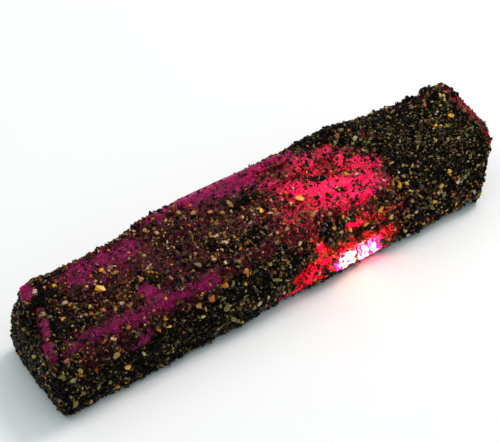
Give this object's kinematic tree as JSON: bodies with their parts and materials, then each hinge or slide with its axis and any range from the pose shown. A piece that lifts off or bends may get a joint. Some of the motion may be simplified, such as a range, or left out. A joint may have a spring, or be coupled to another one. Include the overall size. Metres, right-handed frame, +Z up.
{
  "type": "raw ruby crystal with sand crust",
  "caption": "Stick-shaped raw ruby crystal with flat faces, lying on a long side, wrapped in a broken crust of dark mica and sand grains.",
  "frame": {"origin": "on the ground under the middle of the stone's box", "axes": "+X along the stone towards its right end, +Y towards its back, +Z up; the stone lies on a long side"},
  "size_m": [0.132, 0.0304, 0.0245],
  "materials": {
    "ruby": "satin",
    "sand_crust": "matte"
  },
  "bodies": {
    "root": {"ruby_crystal": "ruby", "sand_crust": "sand_crust"}
  },
  "joints": []
}
